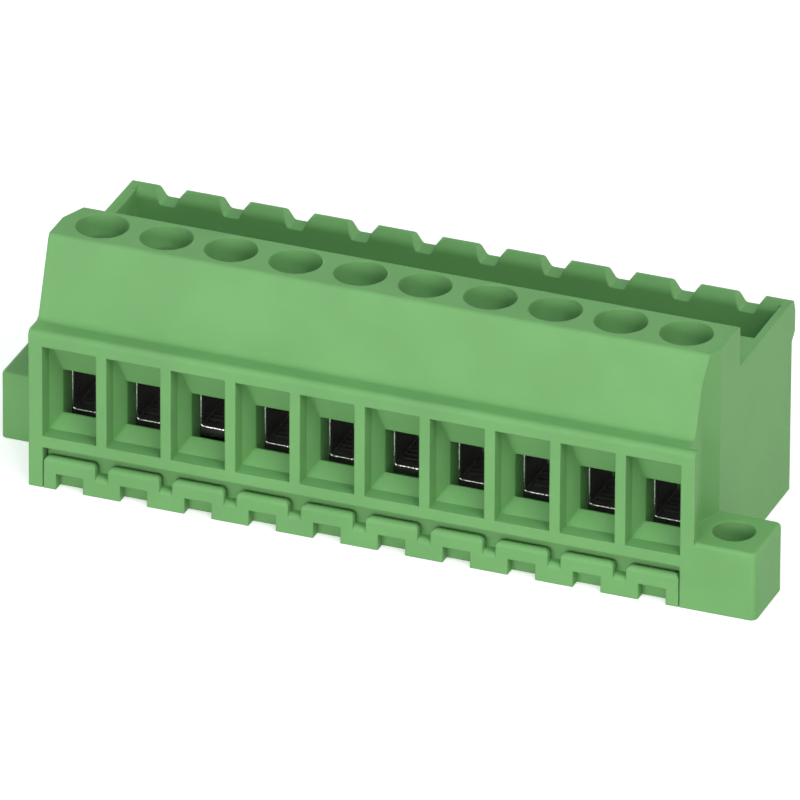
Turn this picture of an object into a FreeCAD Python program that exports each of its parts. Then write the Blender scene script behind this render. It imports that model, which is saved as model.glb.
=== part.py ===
import FreeCAD
import Part
import math
import os

# Pluggable terminal block: a row of screw clamps in front, with wire entries at the front and
# screwdriver bores on top, and an open socket for the mating plug behind them.
# Millimetres. X runs along the poles, Y from the wire side to the plug side, Z up.
# Every Y below is measured from the front frame. The whole model is moved at the end so that
# its origin is the middle of its underside.

# Row of poles
pitch = 5.08
poles = 10

# Front frame with the wire entries
end_post = 1.09
window_width = 4.26
window_height = 7.38
lower_rim_bottom = 3.32
lower_rim = 0.92
upper_rim = 1.20
funnel_straight = 1.33
funnel_taper = 1.22
throat_width = 3.00
throat_height = 3.50
throat_rise = 0.93
frame_edge_radius = 0.45

# Screw block above and behind the frame
ledge_depth = 1.95
slope_run = 2.12
top_depth = 5.04
block_height = 18.86
block_edge_radius = 0.35
ledge_radius = 0.60
bore_radius = 2.00
shoulder_top = 14.35
shoulder_thickness = 0.70

# Plug socket
socket_front_wall = 1.28
socket_depth = 8.90
socket_back_wall = 0.90
socket_end_wall = 0.70
socket_floor = 6.30
socket_rim = 15.50
back_rim_radius = 0.80
end_rim_radius = 0.30
corner_post_width = 1.90
corner_post_depth = 4.60
notch_depth = 1.05
notch_bottom = 1.20
notch_top = 2.10
notch_radius = 0.25
notch_mouth_radius = 0.45
latch_proud = 0.65
latch_height = 3.30
latch_lead = 0.35
latch_lead_drop = 1.00
latch_catch = 0.60
latch_edge_radius = 0.25

# Mounting flanges, one at the front right and one further back at the left
flange_width = 4.80
flange_depth = 5.60
flange_height = 5.45
flange_corner_radius = 0.50
flange_edge_radius = 0.30
flange_hole_radius = 1.60
flange_hole_out = 2.00
flange_hole_in = 2.90
left_flange_front = 6.20
right_relief_depth = 0.75
right_relief_front = 0.60
right_relief_flat = 2.75
right_relief_bevel = 1.85
left_relief_depth = 0.95
left_relief_front = 6.80
left_relief_bevel = 2.40
left_relief_flat = 2.05

# Bottom cover
cover_gap = 0.08
cover_lip = 0.90
hill_thickness = 0.55
cover_web = 0.80
cover_plate = 1.00
cover_slab = 3.24
hill_width = 4.07
hill_top = 2.55
valley_top = 1.58
hill_radius = 0.40
lip_edge_radius = 0.45
foot_notch_width = 2.15
foot_notch_height = 1.28
core_width = 3.40
core_depth = 5.60

# Clamp cage
cage_width = 4.00
cage_depth = 4.60
cage_side = 0.60
cage_floor = 0.80
cage_roof = 1.50
cage_window = 4.43
cage_corner_radius = 0.60
cage_inner_radius = 0.35
cage_clearance = 0.05
ceiling_clearance = 0.10
cage_lifts = (0.05, 0.17, 0.60, 0.22, 0.16, 0.38, 0.16, 0.20, 0.12, 0.10)

# Clamp screw
thread_radius = 1.25
thread_clearance = 0.05
guide_clearance = 0.10
head_radius = 1.85
head_height = 1.90
head_clearance = 0.05
drive_slot_width = 0.75
drive_slot_depth = 0.95
tip_clearance = 0.05
raised_head = 0.70
raised_poles = (1, 2)
slot_turn = 37.0

# Contact: a bent bar that ends in a square pin
bar_thickness = 0.80
bar_width = 2.50
bar_clearance = 0.05
bar_bend = 0.60
tongue_bottom = 8.20
tongue_setback = 0.30
pin_size = 1.00
pin_tip = 11.20
pin_taper = 0.60
pin_from_back_wall = 4.50

# Places worked out from the sizes above
reach = 1.0
frame_top = lower_rim_bottom + lower_rim + window_height + upper_rim
window_bottom = lower_rim_bottom + lower_rim
half_inner = (poles - 1) / 2 * pitch + window_width / 2
half_width = half_inner + end_post
top_front = ledge_depth + slope_run
block_back = top_front + top_depth
screw_y = top_front + top_depth / 2
socket_front = block_back + socket_front_wall
socket_back = socket_front + socket_depth
wall_back = socket_back + socket_back_wall
overall_depth = wall_back + latch_proud
cage_front = screw_y - cage_depth / 2
cage_back = cage_front + cage_depth
chamber_front = cage_front - cage_clearance
chamber_back = cage_back + cage_clearance
chamber_top = shoulder_top - shoulder_thickness
tongue_top = tongue_bottom + bar_thickness
cage_height = cage_floor + cage_window + cage_roof
cage_lowest = tongue_top - cage_window - cage_floor
cage_travel = chamber_top - ceiling_clearance - cage_height - cage_lowest
leg_front = chamber_back + 2 * bar_clearance
leg_back = leg_front + bar_thickness
pin_back = socket_back - pin_from_back_wall
pin_front = pin_back - pin_size
left_hole_y = left_flange_front + flange_depth - flange_hole_in


def pole_x(pole):
    """X of a pole, counted from 1 at the left."""
    return (pole - (poles + 1) / 2) * pitch


def along_x(a, b, x):
    return FreeCAD.Vector(x, a, b)


def along_y(a, b, y):
    return FreeCAD.Vector(a, y, b)


def along_z(a, b, z):
    return FreeCAD.Vector(a, b, z)


def rounded_outline(corners, place, start):
    """Closed wire through corners (a, b, radius), with a tangent arc where radius is not zero."""
    count = len(corners)
    entries = []
    middles = []
    exits = []
    for index, (a, b, radius) in enumerate(corners):
        corner = FreeCAD.Vector(a, b, 0)
        before = FreeCAD.Vector(corners[index - 1][0], corners[index - 1][1], 0) - corner
        after = FreeCAD.Vector(corners[(index + 1) % count][0], corners[(index + 1) % count][1], 0) - corner
        before.normalize()
        after.normalize()
        half_angle = before.getAngle(after) / 2
        cut = radius / math.tan(half_angle)
        bisector = before + after
        if radius:
            bisector.normalize()
        middle = corner + bisector * (radius / math.sin(half_angle) - radius)
        entries.append(corner + before * cut)
        middles.append(middle if radius else corner)
        exits.append(corner + after * cut)
    edges = []
    for index in range(count):
        begin = place(exits[index - 1].x, exits[index - 1].y, start)
        entry = place(entries[index].x, entries[index].y, start)
        edges.append(Part.LineSegment(begin, entry).toShape())
        if corners[index][2]:
            middle = place(middles[index].x, middles[index].y, start)
            leave = place(exits[index].x, exits[index].y, start)
            edges.append(Part.Arc(entry, middle, leave).toShape())
    return Part.Wire(edges)


def prism(corners, place, start, length):
    """Solid made by pushing an outline along the axis that its place function names."""
    wire = rounded_outline(corners, place, start)
    return Part.Face(wire).extrude(place(0, 0, start + length) - place(0, 0, start))


def box(x_from, x_to, y_from, y_to, z_from, z_to):
    corner = FreeCAD.Vector(x_from, y_from, z_from)
    return Part.makeBox(x_to - x_from, y_to - y_from, z_to - z_from, corner)


def cylinder(radius, x, y, z_from, z_to):
    return Part.makeCylinder(radius, z_to - z_from, FreeCAD.Vector(x, y, z_from))


def tapered_block(first, second):
    """Solid between two four-cornered ends whose matching sides are parallel."""
    def side(corners):
        return Part.Face(Part.makePolygon(corners + corners[:1]))

    faces = [side(first), side(second)]
    for index in range(len(first)):
        faces.append(side([first[index - 1], first[index], second[index], second[index - 1]]))
    return Part.makeSolid(Part.makeShell(faces))


def upright_corners(x, half, y, z_from, z_to):
    """Corners of a rectangle that stands across Y."""
    corners = [(x - half, z_from), (x + half, z_from), (x + half, z_to), (x - half, z_to)]
    return [FreeCAD.Vector(a, y, b) for a, b in corners]


def level_corners(x, y, half, z):
    """Corners of a level square."""
    corners = [(x - half, y - half), (x + half, y - half), (x + half, y + half), (x - half, y + half)]
    return [FreeCAD.Vector(a, b, z) for a, b in corners]


def screw_block():
    """Front frame, ledge, sloping face and flat top, as one profile along the poles."""
    corners = [
        (0, 0, 0),
        (0, frame_top, frame_edge_radius),
        (ledge_depth, frame_top, ledge_radius),
        (top_front, block_height, block_edge_radius),
        (block_back, block_height, block_edge_radius),
        (block_back, 0, 0),
    ]
    return prism(corners, along_x, -half_width, 2 * half_width)


def socket_shell():
    """Outer form of the plug socket, with the latch strip along the top of its back wall."""
    shell = box(-half_width, half_width, block_back - reach, wall_back, 0, socket_rim)
    latch_bottom = socket_rim - latch_height
    corners = [
        (wall_back - socket_back_wall / 2, socket_rim, 0),
        (overall_depth - latch_lead, socket_rim, latch_edge_radius),
        (overall_depth, socket_rim - latch_lead_drop, 0),
        (overall_depth, latch_bottom + latch_catch, 0),
        (wall_back, latch_bottom, 0),
        (wall_back - socket_back_wall / 2, latch_bottom, 0),
    ]
    return shell.fuse(prism(corners, along_x, -half_width, 2 * half_width))


def socket_cavity():
    """Space that takes the plug, with a rounded rim. Posts stay in its two front corners."""
    inner = half_width - socket_end_wall
    post_x = inner - corner_post_width
    post_back = block_back + corner_post_depth
    front_half = box(-post_x, post_x, socket_front, post_back, socket_floor, block_height)
    lengthwise = [
        (post_back, socket_floor, 0),
        (socket_back, socket_floor, 0),
        (socket_back, socket_rim, back_rim_radius),
        (socket_back + 2 * back_rim_radius, socket_rim, 0),
        (socket_back + 2 * back_rim_radius, block_height, 0),
        (post_back, block_height, 0),
    ]
    crosswise = [
        (-inner, socket_floor, 0),
        (inner, socket_floor, 0),
        (inner, socket_rim, end_rim_radius),
        (inner + 2 * end_rim_radius, socket_rim, 0),
        (inner + 2 * end_rim_radius, block_height, 0),
        (-inner - 2 * end_rim_radius, block_height, 0),
        (-inner - 2 * end_rim_radius, socket_rim, 0),
        (-inner, socket_rim, end_rim_radius),
    ]
    back_half = prism(lengthwise, along_x, -inner, 2 * inner)
    return [front_half, back_half, prism(crosswise, along_y, post_back, socket_back - post_back)]


def rim_notch(x):
    """Notch in the back wall, with rounded corners below and above."""
    low = socket_rim - notch_depth
    flare = 3 * notch_mouth_radius
    corners = [
        (x - notch_bottom / 2, low, notch_radius),
        (x + notch_bottom / 2, low, notch_radius),
        (x + notch_top / 2, socket_rim, notch_mouth_radius),
        (x + notch_top / 2 + flare, socket_rim, 0),
        (x + notch_top / 2 + flare, socket_rim + reach, 0),
        (x - notch_top / 2 - flare, socket_rim + reach, 0),
        (x - notch_top / 2 - flare, socket_rim, 0),
        (x - notch_top / 2, socket_rim, notch_mouth_radius),
    ]
    start = socket_back - reach
    return prism(corners, along_y, start, overall_depth + reach - start)


def wire_entry(x):
    """Rectangular window that tapers to a throat, with an open space below it before the clamp cage."""
    window_top = window_bottom + window_height
    throat_bottom = window_bottom + throat_rise
    throat_top = throat_bottom + throat_height
    taper_back = funnel_straight + funnel_taper
    half_window = window_width / 2
    window = box(x - half_window, x + half_window, -reach, funnel_straight, window_bottom, window_top)
    half_throat = throat_width / 2
    mouth = upright_corners(x, half_window, funnel_straight, window_bottom, window_top)
    end = upright_corners(x, half_throat, taper_back, throat_bottom, throat_top)
    funnel = tapered_block(mouth, end)
    throat = box(x - half_throat, x + half_throat, taper_back, chamber_front, lower_rim_bottom, throat_top)
    return [window, funnel, throat]


def clamp_chamber(x):
    """Shaft for the cage, guide hole and bore for the screw, and seat for the contact."""
    half = cage_width / 2 + cage_clearance
    shaft = box(x - half, x + half, chamber_front, chamber_back, -reach, chamber_top)
    guide_radius = thread_radius + guide_clearance
    guide = cylinder(guide_radius, x, screw_y, chamber_top, shoulder_top)
    bore = cylinder(bore_radius, x, screw_y, shoulder_top, block_height + reach)
    half_bar = bar_width / 2 + bar_clearance
    slot_top = tongue_top + bar_clearance
    leg_slot = box(x - half_bar, x + half_bar, chamber_back, leg_back + bar_clearance, 0, slot_top)
    base_top = cover_plate + bar_thickness + bar_clearance
    base_slot = box(x - half_bar, x + half_bar, chamber_back, pin_back + bar_clearance, 0, base_top)
    half_pin = pin_size / 2
    pin_hole = box(x - half_pin, x + half_pin, pin_front, pin_back, 0, socket_floor)
    return [shaft, guide, bore, leg_slot, base_slot, pin_hole]


def cover_seat():
    """Stepped recess in the underside for the bottom cover."""
    deep = box(-half_inner, half_inner, -reach, chamber_back, -reach, lower_rim_bottom)
    shallow = box(-half_inner, half_inner, 0, cover_back() + cover_gap, -reach, cover_plate)
    return [deep, shallow]


def side_reliefs():
    """Hollows beside the flange holes that give room for a screw head."""
    height = block_height + reach - flange_height
    wide = half_width + reach
    deep = half_width - right_relief_depth
    right_flat = right_relief_front + right_relief_flat
    right = [
        (wide, right_relief_front, 0),
        (deep, right_relief_front, 0),
        (deep, right_flat, 0),
        (half_width, right_flat + right_relief_bevel, 0),
        (wide, right_flat + right_relief_bevel, 0),
    ]
    deep = half_width - left_relief_depth
    left_flat = left_relief_front + left_relief_bevel
    left = [
        (-wide, left_flat + left_relief_flat, 0),
        (-deep, left_flat + left_relief_flat, 0),
        (-deep, left_flat, 0),
        (-half_width, left_relief_front, 0),
        (-wide, left_relief_front, 0),
    ]
    return [prism(right, along_z, flange_height, height), prism(left, along_z, flange_height, height)]


def flange(side, front, hole_y):
    """Ear with a vertical screw hole; side is 1 at the right and -1 at the left."""
    wall = side * (half_width - end_post / 2)
    outer = side * (half_width + flange_width)
    back = front + flange_depth
    corners = [
        (wall, front, 0),
        (outer, front, flange_corner_radius),
        (outer, back, flange_corner_radius),
        (wall, back, 0),
    ]
    body = prism(corners, along_z, 0, flange_height)
    rims = []
    for edge in body.Edges:
        span = edge.BoundBox
        if span.ZMin > flange_height / 2 and max(side * span.XMin, side * span.XMax) > half_width:
            rims.append(edge)
    body = body.makeFillet(flange_edge_radius, rims)
    hole_x = side * (half_width + flange_hole_out)
    return body, cylinder(flange_hole_radius, hole_x, hole_y, -reach, flange_height + reach)


def housing():
    right_ear, right_hole = flange(1, 0, flange_hole_in)
    left_ear, left_hole = flange(-1, left_flange_front, left_hole_y)
    body = screw_block().fuse([socket_shell(), right_ear, left_ear])
    cuts = socket_cavity() + side_reliefs() + [right_hole, left_hole]
    cuts += cover_seat()
    for pole in range(1, poles + 1):
        cuts += wire_entry(pole_x(pole))
        cuts += clamp_chamber(pole_x(pole))
        cuts.append(rim_notch(pole_x(pole)))
    return body.cut(cuts).removeSplitter()


def cover_back():
    return pin_back + pin_size / 2


def lip_run(x_from, x_to, top, depth):
    """Length of the cover's lip, with its upper front edge rounded."""
    corners = [(0, 0, 0), (0, top, lip_edge_radius), (depth, top, 0), (depth, 0, 0)]
    return prism(corners, along_x, x_from, x_to - x_from)


def cover_lip_strip(half_length):
    """Comb-like front edge: a thin hill below each wire entry and a valley below each partition."""
    hills = []
    notches = []
    for pole in range(1, poles + 1):
        left = pole_x(pole) - hill_width / 2
        right = pole_x(pole) + hill_width / 2
        outline = [(left, 0, 0), (left, hill_top, hill_radius), (right, hill_top, hill_radius), (right, 0, 0)]
        rounded = lip_run(left, right, hill_top, hill_thickness)
        hills.append(prism(outline, along_y, 0, hill_thickness).common(rounded))
        left = pole_x(pole) - foot_notch_width / 2
        right = pole_x(pole) + foot_notch_width / 2
        notches.append(box(left, right, -reach, cover_lip, -reach, foot_notch_height))
    return lip_run(-half_length, half_length, valley_top, cover_lip).fuse(hills).cut(notches)


def bottom_cover():
    """Strip that closes the clamp chambers from below and holds the contacts up."""
    half_length = half_inner - cover_gap
    slab_back = cage_back
    slab = box(-half_length, half_length, cover_lip, slab_back, 0, cover_slab)
    plate = box(-half_length, half_length, cover_lip, cover_back(), 0, cover_plate)
    cores = []
    for pole in range(1, poles + 1):
        left = pole_x(pole) - core_width / 2
        core_front = cover_lip + cover_web
        core_top = cover_slab - cover_web
        cores.append(box(left, left + core_width, core_front, core_front + core_depth, -reach, core_top))
    cover = cover_lip_strip(half_length).fuse([slab, plate])
    return cover.cut(cores).removeSplitter()


def clamp_cage(x, lift):
    """Bent cage with a window through it and a threaded roof, open from front to back."""
    bottom = cage_lowest + lift
    half = cage_width / 2
    top = bottom + cage_height
    outer = [
        (x - half, bottom, cage_corner_radius),
        (x + half, bottom, cage_corner_radius),
        (x + half, top, 0),
        (x - half, top, 0),
    ]
    inner_half = half - cage_side
    inner_bottom = bottom + cage_floor
    inner_top = inner_bottom + cage_window
    inner = [
        (x - inner_half, inner_bottom, cage_inner_radius),
        (x + inner_half, inner_bottom, cage_inner_radius),
        (x + inner_half, inner_top, 0),
        (x - inner_half, inner_top, 0),
    ]
    body = prism(outer, along_y, cage_front, cage_depth)
    window = prism(inner, along_y, cage_front - reach, cage_depth + 2 * reach)
    thread = cylinder(thread_radius + thread_clearance, x, screw_y, inner_top - reach, top + reach)
    return body.cut([window, thread])


def clamp_screw(x, rise, turn):
    """Slotted cheese-head screw, turned from above."""
    head_bottom = shoulder_top + head_clearance
    head_top = head_bottom + head_height
    tip = tongue_top + tip_clearance
    half_profile = [
        (0, tip, 0),
        (thread_radius, tip, 0),
        (thread_radius, head_bottom, 0),
        (head_radius, head_bottom, 0),
        (head_radius, head_top, 0),
        (0, head_top, 0),
    ]
    face = Part.Face(rounded_outline(half_profile, along_y, 0))
    screw = face.revolve(FreeCAD.Vector(0, 0, 0), FreeCAD.Vector(0, 0, 1), 360)
    half_slot = drive_slot_width / 2
    slot_bottom = head_top - drive_slot_depth
    slot = box(-head_radius - reach, head_radius + reach, -half_slot, half_slot, slot_bottom, head_top + reach)
    screw = screw.cut(slot)
    screw.rotate(FreeCAD.Vector(0, 0, 0), FreeCAD.Vector(0, 0, 1), turn)
    screw.translate(FreeCAD.Vector(x, screw_y, rise))
    return screw


def contact_pin(x):
    """Tongue inside the cage, leg down the chamber wall, base on the cover, and square pin."""
    base_bottom = cover_plate
    base_top = base_bottom + bar_thickness
    bar = [
        (cage_front + tongue_setback, tongue_bottom, 0),
        (cage_front + tongue_setback, tongue_top, 0),
        (leg_back, tongue_top, bar_bend),
        (leg_back, base_top, 0),
        (pin_back, base_top, 0),
        (pin_back, base_bottom, 0),
        (leg_front, base_bottom, bar_bend),
        (leg_front, tongue_bottom, 0),
    ]
    strip = prism(bar, along_x, x - bar_width / 2, bar_width)
    half_pin = pin_size / 2
    shank_top = pin_tip - pin_taper
    shank = box(x - half_pin, x + half_pin, pin_front, pin_back, base_bottom, shank_top)
    pin_y = (pin_front + pin_back) / 2
    wide = level_corners(x, pin_y, half_pin, shank_top)
    narrow = level_corners(x, pin_y, half_pin / 2, pin_tip)
    return strip.fuse([shank, tapered_block(wide, narrow)]).removeSplitter()


def save(name, shape):
    """Write one piece, moved so that the origin is the middle of the underside."""
    placed = shape.copy()
    placed.translate(FreeCAD.Vector(0, -overall_depth / 2, 0))
    solids = placed.Solids
    if len(solids) == 1:
        placed = solids[0]
    placed.exportStep("parts/" + name + ".step")
    centre = placed.BoundBox
    print(name, len(solids), placed.isValid(), round(placed.Volume, 2),
          [round(v, 3) for v in (centre.XMin, centre.XMax, centre.YMin, centre.YMax, centre.ZMin, centre.ZMax)])


def main():
    os.makedirs("parts", exist_ok=True)
    save("housing", housing())
    save("bottom_cover", bottom_cover())
    for pole in range(1, poles + 1):
        x = pole_x(pole)
        lift = cage_lifts[(pole - 1) % len(cage_lifts)]
        rise = raised_head if pole in raised_poles else 0
        save("clamp_cage_%02d" % pole, clamp_cage(x, lift))
        save("clamp_screw_%02d" % pole, clamp_screw(x, rise, slot_turn * pole % 180))
        save("contact_pin_%02d" % pole, contact_pin(x))
    print("cage travel", round(cage_travel, 3), "screw axis y", round(screw_y - overall_depth / 2, 4))


main()
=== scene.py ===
import bmesh
import bpy
import math
from bpy.props import FloatProperty, FloatVectorProperty, PointerProperty
from mathutils import Matrix, Vector


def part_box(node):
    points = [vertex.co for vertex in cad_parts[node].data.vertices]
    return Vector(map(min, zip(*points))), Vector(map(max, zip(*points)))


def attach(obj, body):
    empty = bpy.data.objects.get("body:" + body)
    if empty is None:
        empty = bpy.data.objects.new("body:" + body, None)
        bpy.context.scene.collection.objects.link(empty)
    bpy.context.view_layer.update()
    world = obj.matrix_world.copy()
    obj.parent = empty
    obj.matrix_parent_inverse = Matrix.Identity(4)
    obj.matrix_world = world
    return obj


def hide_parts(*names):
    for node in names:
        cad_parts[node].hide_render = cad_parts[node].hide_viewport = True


bl_info = {
    "name": "Pluggable terminal block finish",
    "version": (1, 0, 0),
    "blender": (4, 5, 0),
    "location": "View3D > Sidebar > Terminal block",
    "description": "Dresses the packed model of a pluggable terminal block and sets up its studio",
    "category": "Object",
}

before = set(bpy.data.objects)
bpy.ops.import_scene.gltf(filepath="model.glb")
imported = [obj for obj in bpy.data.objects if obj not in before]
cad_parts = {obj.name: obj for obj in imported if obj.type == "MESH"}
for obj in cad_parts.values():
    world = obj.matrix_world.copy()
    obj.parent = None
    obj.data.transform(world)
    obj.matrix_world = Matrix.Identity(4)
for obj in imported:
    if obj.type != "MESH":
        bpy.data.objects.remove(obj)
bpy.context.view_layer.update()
poles = sum(name.startswith("clamp_cage_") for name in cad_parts)

# Meshes: how finely round forms are cut, and the angle from which an edge stays hard.
BEND_STEPS = 8
RIM_STEPS = 3
HOLE_SIDES = 48
HEAD_SIDES = 64
THREAD_SIDES = 40
THREAD_ROWS = 10
HARD_ANGLE = math.radians(35)
OVERSHOOT = 1  # millimetres that a cutting tool reaches past what it cuts

# Studio: square lamps as azimuth and elevation in degrees, strength and colour, all aimed at one point.
LAMP_DISTANCE = 0.60
LAMP_SIDE = 0.34
LAMP_AIM = Vector((0, 0, 0.009))
LAMPS = {
    "front": (-6, 4, 0.87, (1.0, 0.93, 0.98)),
    "key": (48, 47, 0.45, (0.88, 0.93, 0.90)),
    "side": (60, 20, 0.17, (1.0, 0.92, 0.80)),
    "top": (4, 70, 0.24, (0.87, 0.98, 1.0)),
    "rear": (148, 9, 0.30, (1.0, 0.94, 0.84)),
    "left": (-125, 9, 0.50, (0.94, 1.0, 0.98)),
}
WORLD_LIGHT = 0.10  # strength of the surroundings for rays that light the object
FLOOR_GREY = 0.80
FLOOR_DROP = 0.00003  # keeps the floor clear of the object's underside


def size_of(node):
    low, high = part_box(node)
    return high - low


def length(name, description, default):
    """A length property. The default is given in millimetres."""
    return FloatProperty(name=name, description=description, default=default / 1000, unit="LENGTH",
                         subtype="DISTANCE", precision=6)


def colour(name, description, default):
    return FloatVectorProperty(name=name, description=description, default=default, size=3,
                               subtype="COLOR", min=0, max=1)


class MouldingSettings(bpy.types.PropertyGroup):
    body: colour("Polyamide", "Colour of the moulded housing and cover", (0.164, 0.384, 0.138))
    # Painted highlight: the colour that the rounded edges are blended to, standing in for light on those edges.
    edge_highlight_colour: colour("Painted edge highlight", "Colour of the highlight painted along edges", (0.25, 0.50, 0.19))
    edge: length("Edge radius", "How far the light rolls over a moulded edge", 0.16)
    grain: length("Grain", "Size of the spark-eroded grain of the mould", 0.16)
    grain_depth: length("Grain depth", "Height of that grain", 0.006)
    roughness: FloatProperty(name="Roughness", description="Roughness of the moulded surface",
                             default=0.50, min=0, max=1, subtype="FACTOR")


class CageSettings(bpy.types.PropertyGroup):
    wall: length("Side", "Thickness of the cage's sides", 0.60)
    floor: length("Floor", "Thickness of the cage's floor", 0.80)
    roof: length("Roof", "Thickness of the folded roof that carries the thread", 1.50)
    outer_radius: length("Outer bend", "Radius outside the lower bends", 0.60)
    inner_radius: length("Inner bend", "Radius inside the lower bends", 0.15)
    hole_radius: length("Thread hole", "Radius of the hole in the roof", 1.28)
    rib_depth: length("Rib depth", "Depth of the grooves that grip the wire", 0.16)
    rib_pitch: length("Rib pitch", "Distance between those grooves", 0.62)
    edge: length("Burr", "Width of the broken edge round the sheet", 0.10)
    # Painted shade: the plating colour is far darker than nickel, standing in for the shade inside the cage.
    metal: colour("Nickel", "Plating colour, darkened as painted shade inside the cage", (0.115, 0.118, 0.110))
    # Painted glint: the colour of the rims, near white, standing in for light glinting on the cage's edges.
    bright: colour("Bright edge", "Colour of the rubbed edges", (0.95, 0.95, 0.92))


class ScrewSettings(bpy.types.PropertyGroup):
    thread_pitch: length("Thread pitch", "Advance of the thread in one turn", 0.45)
    shank_radius: length("Shank", "Radius over the thread", 1.24)
    thread_depth: length("Thread depth", "Depth of the thread", 0.25)
    head_edge: length("Head edge", "Radius round the top of the head", 0.12)
    slot_width: length("Slot width", "Width of the driver slot", 0.75)
    slot_depth: length("Slot depth", "Depth of the driver slot", 0.95)
    head_height: length("Head height", "Height of the cheese head", 1.90)
    slot_turn: FloatProperty(name="Slot turn", description="Angle between the slots of neighbouring screws",
                             default=math.radians(37), unit="ROTATION", subtype="ANGLE")
    metal: colour("Zinc", "Colour of the plated screws", (0.70, 0.70, 0.68))


class ContactSettings(bpy.types.PropertyGroup):
    metal: colour("Tin", "Colour of the tinned contacts", (0.66, 0.65, 0.62))


class StageSettings(bpy.types.PropertyGroup):
    azimuth: FloatProperty(name="Azimuth", description="Camera angle from the wire side towards the right",
                           default=math.radians(21.18), unit="ROTATION", subtype="ANGLE")
    elevation: FloatProperty(name="Elevation", description="Camera angle above the floor",
                             default=math.radians(27.7), unit="ROTATION", subtype="ANGLE")
    roll: FloatProperty(name="Roll", description="Camera roll", default=math.radians(0.31),
                        unit="ROTATION", subtype="ANGLE")
    distance: length("Distance", "From the camera to the middle of the view", 1324.76)
    lens: FloatProperty(name="Lens", description="Focal length in millimetres", default=813.15, min=1)
    aim: FloatVectorProperty(name="Aim", description="Point in the middle of the view", size=3,
                             default=(-0.000365, -0.001339, 0.007620), subtype="TRANSLATION", unit="LENGTH")
    floor_size: length("Floor", "Side of the white floor", 4000)
    floor_white: FloatProperty(name="Floor glow", description="Share of the floor's white that no shadow takes",
                               default=0.52, min=0, max=1, subtype="FACTOR")


class Value:
    """A node's output, used in Python expressions."""

    def __init__(self, sheet, socket):
        self.sheet = sheet
        self.socket = socket

    def __add__(self, other):
        return self.sheet.maths("ADD", self, other)

    def __radd__(self, other):
        return self.sheet.maths("ADD", other, self)

    def __sub__(self, other):
        return self.sheet.maths("SUBTRACT", self, other)

    def __rsub__(self, other):
        return self.sheet.maths("SUBTRACT", other, self)

    def __mul__(self, other):
        return self.sheet.maths("MULTIPLY", self, other)

    def __rmul__(self, other):
        return self.sheet.maths("MULTIPLY", other, self)


class Sheet:
    """The node tree of one material or of the world, emptied and ready to fill."""

    def __init__(self, owner):
        owner.use_nodes = True
        self.tree = owner.node_tree
        self.tree.nodes.clear()

    def add(self, kind, settings=None, sockets=None, out=0):
        """Add a node. Settings are set first, then its sockets by name or number."""
        node = self.tree.nodes.new(kind)
        for name, value in (settings or {}).items():
            setattr(node, name, value)
        for name, value in (sockets or {}).items():
            if isinstance(value, Value):
                self.tree.links.new(value.socket, node.inputs[name])
            else:
                node.inputs[name].default_value = value
        return Value(self, node.outputs[out]) if len(node.outputs) else None

    def maths(self, operation, first, second):
        return self.add("ShaderNodeMath", {"operation": operation}, {0: first, 1: second})

    def clamp(self, value):
        return self.add("ShaderNodeClamp", None, {"Value": value})

    def spread(self, value, low, high):
        """Value stretched so that low gives 0 and high gives 1."""
        return self.add("ShaderNodeMapRange", {"clamp": True},
                        {"Value": value, "From Min": low, "From Max": high})

    def blend(self, factor, first, second):
        """Colour between first and second."""
        return self.add("ShaderNodeMix", {"data_type": "RGBA"}, {0: factor, 6: first, 7: second}, 2)

    def vectors(self, operation, first, second, out=0):
        return self.add("ShaderNodeVectorMath", {"operation": operation}, {0: first, 1: second}, out)

    def noise(self, place, scale, detail):
        """Noise whose scale counts its waves in a metre."""
        return self.add("ShaderNodeTexNoise", None, {"Vector": place, "Scale": scale, "Detail": detail})

    def bump(self, height, distance, normal=None):
        """Normal of a surface that stands out by a distance in metres where the height is 1."""
        sockets = {"Strength": 1.0, "Distance": distance, "Height": height}
        if normal:
            sockets["Normal"] = normal
        return self.add("ShaderNodeBump", None, sockets)

    def edges(self, radius):
        """Normal rolled over the edges, and how far it leans from the true one."""
        rolled = self.add("ShaderNodeBevel", {"samples": 6}, {"Radius": radius})
        true = self.add("ShaderNodeNewGeometry", None, None, "True Normal")
        return rolled, 1 - self.vectors("DOT_PRODUCT", rolled, true, 1)

    def finish(self, shader, kind="ShaderNodeOutputMaterial"):
        self.add(kind, None, {"Surface": shader})


def rgba(value, shade=1.0):
    """Colour with its alpha, made darker or lighter by shade."""
    return (*(channel * shade for channel in value), 1)


def mm(value):
    """Metres in millimetres."""
    return value * 1000


def new_sheet(name):
    material = bpy.data.materials.new(name)
    return material, Sheet(material)


def moulded_polyamide(name, settings):
    """Satin green polyamide with the grain of a spark-eroded mould, and edges made paler as a painted highlight."""
    material, sheet = new_sheet(name)
    place = sheet.add("ShaderNodeTexCoord", None, None, "Object")
    rolled, lean = sheet.edges(settings.edge)
    grain = sheet.noise(place, 1 / settings.grain, 3)
    flow = sheet.noise(place, 160, 3)
    # Painted highlight: near the rounded edges the colour turns paler, standing in for light on them; the same mask
    # makes them a little glossier.
    painted_edge_highlight = sheet.spread(lean + 0.06 * (grain - 0.5), 0.03, 0.30)
    tone = sheet.blend(sheet.spread(flow, 0.35, 0.65), rgba(settings.body, 0.955),
                       rgba(settings.body, 1.045))
    surface = sheet.blend(painted_edge_highlight * 0.30, tone, rgba(settings.edge_highlight_colour))
    roughness = settings.roughness - 0.05 + 0.10 * flow - 0.05 * painted_edge_highlight
    normal = sheet.bump(grain, settings.grain_depth, rolled)
    shader = sheet.add("ShaderNodeBsdfPrincipled", None,
                       {"Base Color": surface, "Roughness": roughness, "Normal": normal,
                        "Specular IOR Level": 0.11})
    sheet.finish(shader)
    return material


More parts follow.
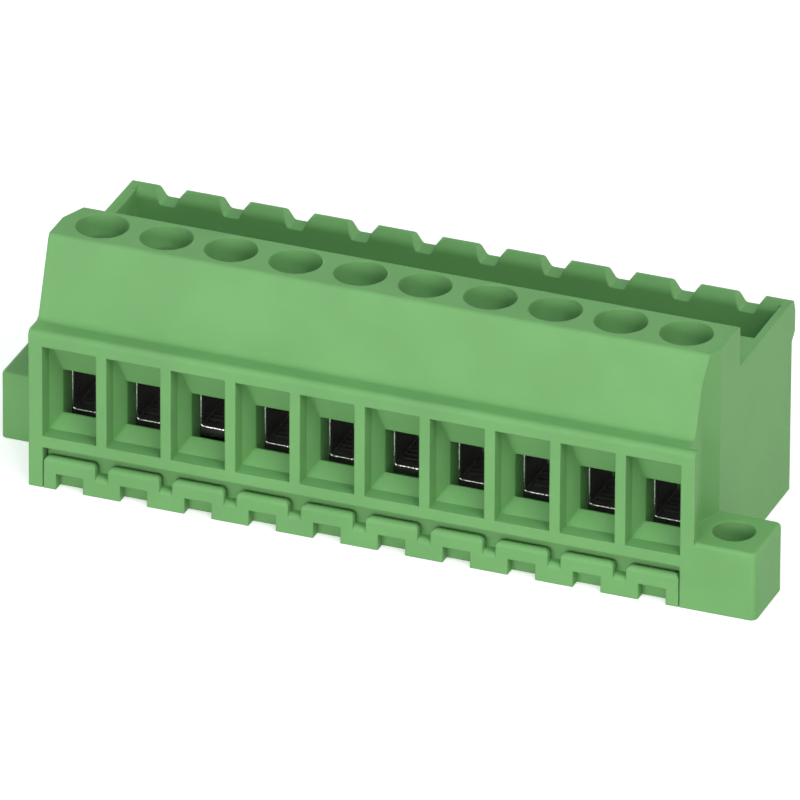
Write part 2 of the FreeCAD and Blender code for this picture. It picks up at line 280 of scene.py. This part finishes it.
def plated_sheet(name, settings, painted_glint):
    """Nickel strip with rolled streaks and stains, darkened as painted shade. The copy for the rims shows near-white
    metal in spots, as painted glints.
    """
    material, sheet = new_sheet(name)
    place = sheet.add("ShaderNodeTexCoord", None, None, "Object")
    long = sheet.add("ShaderNodeMapping", None, {"Vector": place, "Scale": (6000.0, 900.0, 6000.0)})
    streaks = sheet.noise(long, 1.0, 2)
    stains = sheet.noise(place, 1500, 3)
    plate = sheet.blend(sheet.spread(stains, 0.3, 0.7), rgba(settings.metal, 0.7), rgba(settings.metal))
    if painted_glint:
        burrs_and_painted_glints = sheet.noise(place, 7000, 2)
        # Painted glints: spots where the noise is high turn near white; the same noise bumps the surface.
        plate = sheet.blend(sheet.spread(burrs_and_painted_glints, 0.30, 0.42), plate, rgba(settings.bright))
        roughness = 0.16 + 0.14 * stains
        normal = sheet.bump(burrs_and_painted_glints, 0.00005)
    else:
        roughness = 0.60 + 0.14 * streaks + 0.08 * stains
        normal = sheet.bump(streaks, 0.000003)
    shader = sheet.add("ShaderNodeBsdfPrincipled", None,
                       {"Base Color": plate, "Metallic": 1.0 if painted_glint else 0.6, "Roughness": roughness,
                        "Normal": normal})
    sheet.finish(shader)
    return material


def turned_metal(name, metal):
    """Zinc-plated turned steel with the rings that the tool leaves."""
    material, sheet = new_sheet(name)
    place = sheet.add("ShaderNodeTexCoord", None, None, "Object")
    flat = sheet.vectors("MULTIPLY", place, (1.0, 1.0, 0.0))
    radius = sheet.vectors("LENGTH", flat, (0.0, 0.0, 0.0), 1)
    rings = sheet.add("ShaderNodeTexNoise", {"noise_dimensions": "1D"},
                      {"W": radius, "Scale": 14000.0, "Detail": 2.0})
    stains = sheet.noise(place, 1800, 3)
    rolled, lean = sheet.edges(0.00007)
    # Painted highlight: the screw's edges are blended towards a paler metal, standing in for light glinting on them.
    painted_glint = sheet.spread(lean, 0.04, 0.25)
    surface = sheet.blend(sheet.spread(stains, 0.35, 0.7), rgba(metal, 0.82), rgba(metal))
    surface = sheet.blend(painted_glint * 0.6, surface, rgba((0.86, 0.86, 0.84)))
    roughness = 0.24 + 0.14 * rings + 0.10 * stains
    normal = sheet.bump(rings, 0.000004, rolled)
    shader = sheet.add("ShaderNodeBsdfPrincipled", None,
                       {"Base Color": surface, "Metallic": 1.0, "Roughness": roughness, "Normal": normal})
    sheet.finish(shader)
    return material


def tinned_metal(name, metal):
    """Dull tin plating with drawn lines along the bar."""
    material, sheet = new_sheet(name)
    place = sheet.add("ShaderNodeTexCoord", None, None, "Object")
    long = sheet.add("ShaderNodeMapping", None, {"Vector": place, "Scale": (9000.0, 600.0, 600.0)})
    drawn = sheet.noise(long, 1.0, 2)
    cloud = sheet.noise(place, 900, 3)
    rolled, lean = sheet.edges(0.00006)
    surface = sheet.blend(sheet.spread(cloud, 0.3, 0.7), rgba(metal, 0.8), rgba(metal))
    # Painted highlight: the contact's edges are blended towards a paler tin, standing in for light on them.
    surface = sheet.blend(0.5 * sheet.spread(lean, 0.04, 0.25), surface, rgba((0.82, 0.81, 0.78)))
    roughness = 0.30 + 0.16 * cloud + 0.08 * drawn
    normal = sheet.bump(drawn, 0.000003, rolled)
    shader = sheet.add("ShaderNodeBsdfPrincipled", None,
                       {"Base Color": surface, "Metallic": 1.0, "Roughness": roughness, "Normal": normal})
    sheet.finish(shader)
    return material


def dress(node, material):
    """Give a CAD node a material of its own."""
    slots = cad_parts[node].data.materials
    slots.clear()
    slots.append(material)


def mesh_object(name, shape):
    """Object from a bmesh that was made in millimetres."""
    bmesh.ops.recalc_face_normals(shape, faces=shape.faces)
    mesh = bpy.data.meshes.new(name)
    shape.to_mesh(mesh)
    shape.free()
    made = bpy.data.objects.new(name, mesh)
    bpy.context.scene.collection.objects.link(made)
    return made


def settle(made):
    """Apply an object's modifiers."""
    graph = bpy.context.evaluated_depsgraph_get()
    mesh = bpy.data.meshes.new_from_object(made.evaluated_get(graph))
    made.modifiers.clear()
    made.data = mesh
    return made


def cut(made, tools):
    """Cut each tool out of an object, and throw the tools away."""
    for tool in tools:
        change = made.modifiers.new("cut", "BOOLEAN")
        change.operation = "DIFFERENCE"
        change.solver = "EXACT"
        change.object = tool
    settle(made)
    for tool in tools:
        bpy.data.objects.remove(tool)
    return made


def smooth(made):
    """Shade round forms smooth and keep the hard edges."""
    made.data.shade_smooth()
    made.data.set_sharp_from_angle(angle=HARD_ANGLE)


def break_edges(made, width, segments):
    """Round the sharp edges and shade the rest smooth."""
    bevel = made.modifiers.new("edges", "BEVEL")
    bevel.width = width
    bevel.segments = segments
    bevel.limit_method = "ANGLE"
    bevel.angle_limit = HARD_ANGLE
    bevel.harden_normals = True
    made.data.shade_smooth()
    smooth(settle(made))


def to_metres(made):
    made.data.transform(Matrix.Scale(0.001, 4))
    return made


def arc(centre, radius, start, end, steps):
    points = []
    for step in range(steps + 1):
        angle = math.radians(start + (end - start) * step / steps)
        points.append((centre[0] + radius * math.cos(angle), centre[1] + radius * math.sin(angle)))
    return points


def trough_outline(half, bottom, top, radius):
    """Outline across a cage: square at the top, bent at the two lower corners."""
    points = [(half, top), (-half, top)]
    points += arc((-half + radius, bottom + radius), radius, 180, 270, BEND_STEPS)
    points += arc((half - radius, bottom + radius), radius, 270, 360, BEND_STEPS)
    return points


def closed(name, shape, rings):
    """Object whose skin runs from ring to ring of as many points, with both ends closed."""
    for low, high in zip(rings, rings[1:]):
        for index in range(len(low)):
            shape.faces.new((low[index - 1], low[index], high[index], high[index - 1]))
    shape.faces.new(rings[0])
    shape.faces.new(rings[-1])
    return mesh_object(name, shape)


def lofted(name, sections):
    """Closed bar along Y through outlines in X and Z, each with its Y."""
    shape = bmesh.new()
    return closed(name, shape, [[shape.verts.new((x, y, z)) for x, z in outline] for y, outline in sections])


def rims(depth, edge):
    """Y and inset of each section of a bar whose two ends are rounded over."""
    front = []
    for step in range(RIM_STEPS + 1):
        angle = math.radians(90 * step / RIM_STEPS)
        front.append((-depth + edge * (1 - math.cos(angle)), edge * (1 - math.sin(angle))))
    return front + [(-y, inset) for y, inset in reversed(front)]


def groove(half, middle, top, depth, spread):
    """Cutter for a V-shaped groove that lies along X."""
    shape = bmesh.new()
    above = 0.2
    outline = ((-spread, above), (-spread, 0), (0, -depth), (spread, 0), (spread, above))
    return closed("groove", shape, [[shape.verts.new((x, middle + dy, top + dz)) for dy, dz in outline]
                                    for x in (-half, half)])


def turned(name, profile, sides):
    """Solid of revolution about Z from (radius, height) points that start and end on the axis."""
    shape = bmesh.new()
    rings = []
    for radius, height in profile:
        if radius == 0:
            rings.append([shape.verts.new((0, 0, height))] * sides)
        else:
            rings.append([shape.verts.new((radius * math.cos(math.tau * side / sides),
                                           radius * math.sin(math.tau * side / sides), height))
                          for side in range(sides)])
    for low, high in zip(rings, rings[1:]):
        for side in range(sides):
            corners = [low[side - 1], low[side], high[side], high[side - 1]]
            shape.faces.new(list(dict.fromkeys(corners)))
    return mesh_object(name, shape)


def cage_piece(settings, size, finishes):
    """Clamp cage with its floor on Z 0 and the screw on the Z axis."""
    half, depth, top = mm(size.x) / 2, mm(size.y) / 2, mm(size.z)
    wall, floor, roof = mm(settings.wall), mm(settings.floor), mm(settings.roof)
    outer_bend, inner_bend = mm(settings.outer_radius), mm(settings.inner_radius)
    hole, edge = mm(settings.hole_radius), mm(settings.edge)
    under_roof = top - roof
    outer, inner = [], []
    for y, inset in rims(depth, edge):
        outer.append((y, trough_outline(half - inset, inset, top - inset, outer_bend - inset)))
        inner.append((y, trough_outline(half - wall + inset, floor - inset, under_roof + inset, inner_bend + inset)))
    inner = [(-depth - OVERSHOOT, inner[0][1])] + inner + [(depth + OVERSHOOT, inner[-1][1])]
    cage = lofted("cage", outer)
    drill = [(0, under_roof - OVERSHOOT), (hole, under_roof - OVERSHOOT), (hole, top + OVERSHOOT), (0, top + OVERSHOOT)]
    cut(cage, [lofted("inside", inner), turned("hole", drill, HOLE_SIDES)])
    pitch = mm(settings.rib_pitch)
    cut(cage, [groove(half - wall - inner_bend, step * pitch, floor, mm(settings.rib_depth), pitch * 0.42)
               for step in range(-2, 3)])
    cage.data.materials.clear()
    for material in finishes:
        cage.data.materials.append(material)
    # The rims take the copy with painted glints, all other faces the copy darkened as painted shade.
    for face in cage.data.polygons:
        face.material_index = int(abs(face.center.y) > depth - edge and abs(face.normal.y) < 0.99)
    smooth(cage)
    cage.modifiers.new("flats", "WEIGHTED_NORMAL").keep_sharp = True
    return to_metres(settle(cage))


def threaded_shank(settings, tip, shoulder):
    """Shank with its thread, as rings of points round the axis whose radius follows the helix."""
    radius, pitch, depth = mm(settings.shank_radius), mm(settings.thread_pitch), mm(settings.thread_depth)
    steepness, root = 2.6, 0.15     # of the flanks, and the share of their height that the flat root hides
    point_height, taper = 0.3, 0.6  # of the chamfered tip
    run = shoulder - tip
    rows = int(run / pitch * THREAD_ROWS)
    shape = bmesh.new()
    rings = []
    for row in range(rows + 1):
        rise = run * row / rows
        run_out = max(0, min(1, rise / pitch, (run - rise) / pitch))
        point = min(point_height, max(0, point_height - rise))
        ring = []
        for side in range(THREAD_SIDES):
            phase = (rise / pitch - side / THREAD_SIDES) % 1
            flank = min(1, max(0, (0.5 - abs(phase - 0.5)) * steepness - root))
            local = radius - depth + depth * flank * run_out - point * taper
            angle = math.tau * side / THREAD_SIDES
            ring.append(shape.verts.new((local * math.cos(angle), local * math.sin(angle), tip + rise)))
        rings.append(ring)
    return closed("shank", shape, rings)


def screw_piece(settings, low, high):
    """Clamp screw about the Z axis, standing as its CAD solid does."""
    radius = mm(high.x - low.x) / 2
    tip, top = mm(low.z), mm(high.z)
    bottom = top - mm(settings.head_height)
    edge = mm(settings.head_edge)
    chamfer, burr, sunk = 0.08, 0.06, 0.02
    profile = [(0, bottom), (radius - chamfer, bottom), (radius, bottom + chamfer), (radius, top - edge)]
    profile += arc((radius - edge, top - edge), edge, 15, 90, 5)
    profile += [(0, top)]
    head = turned("head", profile, HEAD_SIDES)
    slot, floor = mm(settings.slot_width) / 2, top - mm(settings.slot_depth)
    reach, above = radius + OVERSHOOT, top + OVERSHOOT
    blade = [(reach, floor), (reach, above), (-reach, above), (-reach, floor)]
    cut(head, [lofted("blade", [(-slot, blade), (slot, blade)])])
    break_edges(head, burr, 2)
    shank = threaded_shank(settings, tip, bottom + sunk)
    shank.data.shade_smooth()
    with bpy.context.temp_override(active_object=head, selected_editable_objects=[head, shank]):
        bpy.ops.object.join()
    return to_metres(head)


def rays_that_look(sheet):
    """1 for rays that see the background as the eye or as a mirror does, 0 for rays that light."""
    seen = [sheet.add("ShaderNodeLightPath", None, None, kind)
            for kind in ("Is Camera Ray", "Is Glossy Ray", "Is Transmission Ray")]
    return sheet.clamp(seen[0] + seen[1] + seen[2])


def direction(azimuth, elevation):
    """Unit vector from the object, with azimuth from the wire side towards the right."""
    return Vector((math.sin(azimuth) * math.cos(elevation), -math.cos(azimuth) * math.cos(elevation),
                   math.sin(elevation)))


def soft_lamp(name, azimuth, elevation, strength, tint):
    """Square lamp that gives a white surface facing it a brightness equal to strength."""
    lamp = bpy.data.lights.new(name, "AREA")
    lamp.shape = "SQUARE"
    lamp.size = LAMP_SIDE
    lamp.energy = strength * math.pi ** 2 * LAMP_DISTANCE ** 2
    lamp.color = tint
    holder = bpy.data.objects.new(name, lamp)
    out = direction(math.radians(azimuth), math.radians(elevation))
    holder.location = out * LAMP_DISTANCE + LAMP_AIM
    holder.rotation_euler = out.to_track_quat("Z", "Y").to_euler()
    bpy.context.scene.collection.objects.link(holder)


def photo_camera(settings):
    """Camera that stands as the photograph's did."""
    lens = bpy.data.cameras.new("camera")
    lens.sensor_width = 36
    lens.lens = settings.lens
    lens.clip_start = 0.01
    lens.clip_end = 20
    camera = bpy.data.objects.new("camera", lens)
    azimuth, elevation, roll = settings.azimuth, settings.elevation, settings.roll
    back = direction(azimuth, elevation)
    right = Vector((math.cos(azimuth), math.sin(azimuth), 0))
    up = back.cross(right)
    across = right * math.cos(roll) + up * math.sin(roll)
    above = up * math.cos(roll) - right * math.sin(roll)
    turn = Matrix((across, above, back)).transposed().to_4x4()
    camera.matrix_world = Matrix.Translation(Vector(settings.aim) + back * settings.distance) @ turn
    bpy.context.scene.collection.objects.link(camera)
    return camera


class TERMINAL_OT_stage(bpy.types.Operator):
    """Set up the floor, the lamps, the white surroundings and the camera"""
    bl_idname = "terminal.stage"
    bl_label = "Stage"

    def execute(self, context):
        settings = context.scene.terminal_stage
        scene = context.scene
        scene.view_settings.view_transform = "Standard"
        shape = bmesh.new()
        bmesh.ops.create_grid(shape, x_segments=1, y_segments=1, size=settings.floor_size / 2)
        floor = mesh_object("floor", shape)
        floor.location.z = -FLOOR_DROP
        material, sheet = new_sheet("white_floor")
        matt = sheet.add("ShaderNodeBsdfDiffuse", None, {"Color": rgba([FLOOR_GREY] * 3)})
        white = sheet.add("ShaderNodeEmission", None, {"Color": rgba((1, 1, 1)),
                                                       "Strength": rays_that_look(sheet) * settings.floor_white})
        sheet.finish(sheet.add("ShaderNodeAddShader", None, {0: matt, 1: white}))
        floor.data.materials.append(material)

        world = bpy.data.worlds.new("studio")
        scene.world = world
        sheet = Sheet(world)
        strength = WORLD_LIGHT + (1 - WORLD_LIGHT) * rays_that_look(sheet)
        around = sheet.add("ShaderNodeBackground", None, {"Color": rgba((1, 1, 1)), "Strength": strength})
        sheet.finish(around, "ShaderNodeOutputWorld")

        for name, lamp in LAMPS.items():
            soft_lamp(name, *lamp)
        scene.camera = photo_camera(settings)
        return {"FINISHED"}


class TERMINAL_OT_mouldings(bpy.types.Operator):
    """Give the housing and its bottom cover the finish of moulded polyamide"""
    bl_idname = "terminal.mouldings"
    bl_label = "Mouldings"

    def execute(self, context):
        settings = context.scene.terminal_moulding
        dress("housing", moulded_polyamide("green_polyamide", settings))
        dress("bottom_cover", moulded_polyamide("green_cover_polyamide", settings))
        return {"FINISHED"}


class TERMINAL_OT_cages(bpy.types.Operator):
    """Put a bent, ribbed and plated clamp cage in each pole"""
    bl_idname = "terminal.cages"
    bl_label = "Clamp cages"

    def execute(self, context):
        settings = context.scene.terminal_cage
        # Two copies of one nickel: one darkened as painted shade, one with painted glints on the rims.
        finishes = [plated_sheet("nickel_painted_shade", settings, False), plated_sheet("nickel_painted_glint", settings, True)]
        model = cage_piece(settings, size_of("clamp_cage_01"), finishes)
        for pole in range(1, poles + 1):
            node = "clamp_cage_%02d" % pole
            low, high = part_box(node)
            piece = bpy.data.objects.new("bent_cage_%02d" % pole, model.data.copy())
            piece.location = ((low.x + high.x) / 2, (low.y + high.y) / 2, low.z)
            context.scene.collection.objects.link(piece)
            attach(piece, "cage_%02d" % pole)
            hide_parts(node)
        bpy.data.objects.remove(model)
        return {"FINISHED"}


class TERMINAL_OT_screws(bpy.types.Operator):
    """Put a threaded and slotted clamp screw in each pole"""
    bl_idname = "terminal.screws"
    bl_label = "Clamp screws"

    def execute(self, context):
        settings = context.scene.terminal_screw
        material = turned_metal("bright_zinc", settings.metal)
        low_screw, high_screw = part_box("clamp_screw_%02d" % poles)
        model = screw_piece(settings, low_screw, high_screw)
        model.data.materials.clear()
        model.data.materials.append(material)
        for pole in range(1, poles + 1):
            node = "clamp_screw_%02d" % pole
            low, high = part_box(node)
            piece = bpy.data.objects.new("slotted_screw_%02d" % pole, model.data.copy())
            piece.location = ((low.x + high.x) / 2, (low.y + high.y) / 2, high.z - high_screw.z)
            piece.rotation_euler.z = settings.slot_turn * pole % math.pi
            context.scene.collection.objects.link(piece)
            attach(piece, "screw_%02d" % pole)
            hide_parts(node)
        bpy.data.objects.remove(model)
        return {"FINISHED"}


class TERMINAL_OT_contacts(bpy.types.Operator):
    """Give the contacts their tin plating"""
    bl_idname = "terminal.contacts"
    bl_label = "Contacts"

    def execute(self, context):
        material = tinned_metal("satin_tin", context.scene.terminal_contact.metal)
        for pole in range(1, poles + 1):
            dress("contact_pin_%02d" % pole, material)
        return {"FINISHED"}


class TERMINAL_PT_parts(bpy.types.Panel):
    bl_idname = "TERMINAL_PT_parts"
    bl_label = "Terminal block"
    bl_space_type = "VIEW_3D"
    bl_region_type = "UI"
    bl_category = "Terminal block"

    def draw(self, context):
        for operator in operators:
            self.layout.operator(operator.bl_idname)
        for name in groups:
            settings = getattr(context.scene, name)
            column = self.layout.column()
            for key in settings.__annotations__:
                column.prop(settings, key)


groups = {
    "terminal_stage": StageSettings,
    "terminal_moulding": MouldingSettings,
    "terminal_cage": CageSettings,
    "terminal_screw": ScrewSettings,
    "terminal_contact": ContactSettings,
}
operators = (TERMINAL_OT_stage, TERMINAL_OT_mouldings, TERMINAL_OT_cages, TERMINAL_OT_screws, TERMINAL_OT_contacts)


def register():
    for name, group in groups.items():
        bpy.utils.register_class(group)
        setattr(bpy.types.Scene, name, PointerProperty(type=group))
    for part in (*operators, TERMINAL_PT_parts):
        bpy.utils.register_class(part)


def unregister():
    for part in reversed((*operators, TERMINAL_PT_parts)):
        bpy.utils.unregister_class(part)
    for name, group in reversed(groups.items()):
        delattr(bpy.types.Scene, name)
        bpy.utils.unregister_class(group)


def main():
    register()
    bpy.ops.terminal.stage()
    bpy.ops.terminal.mouldings()
    bpy.ops.terminal.cages()
    bpy.ops.terminal.screws()
    bpy.ops.terminal.contacts()


if __name__ == "__main__":
    main()
